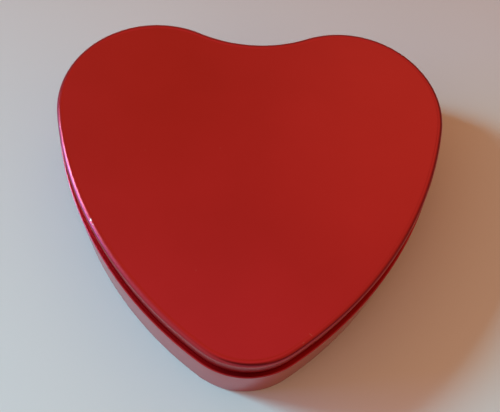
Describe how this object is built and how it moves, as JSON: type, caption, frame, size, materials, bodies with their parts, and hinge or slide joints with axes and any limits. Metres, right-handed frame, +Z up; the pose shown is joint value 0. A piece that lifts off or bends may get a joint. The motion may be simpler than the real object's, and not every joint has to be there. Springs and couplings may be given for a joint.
{
  "type": "heart-shaped tin box",
  "caption": "Heart-shaped metal tin box with a lift-off lid that slips over a stepped neck, for papers, sweets and keepsakes.",
  "frame": {"origin": "on the table the tin stands on, at the middle of its footprint's box", "axes": "+Z up, +X across the two lobes, the heart's tip towards -Y and its notch towards +Y"},
  "size_m": [0.1526, 0.1416, 0.0365],
  "materials": {
    "red_lacquer": "transparent red lacquer over bright tinplate, satin metallic",
    "bare_tinplate": "bright rolled tinplate"
  },
  "bodies": {
    "tin_body": {"body_wall": "red_lacquer", "base_panel": "bare_tinplate"},
    "lid": {"lid": "red_lacquer"}
  },
  "joints": [
    {"name": "lid_lift", "type": "slide", "parent": "tin_body", "child": "lid", "axis": [0, 0, 1], "range_m": [0, 0.06]}
  ]
}
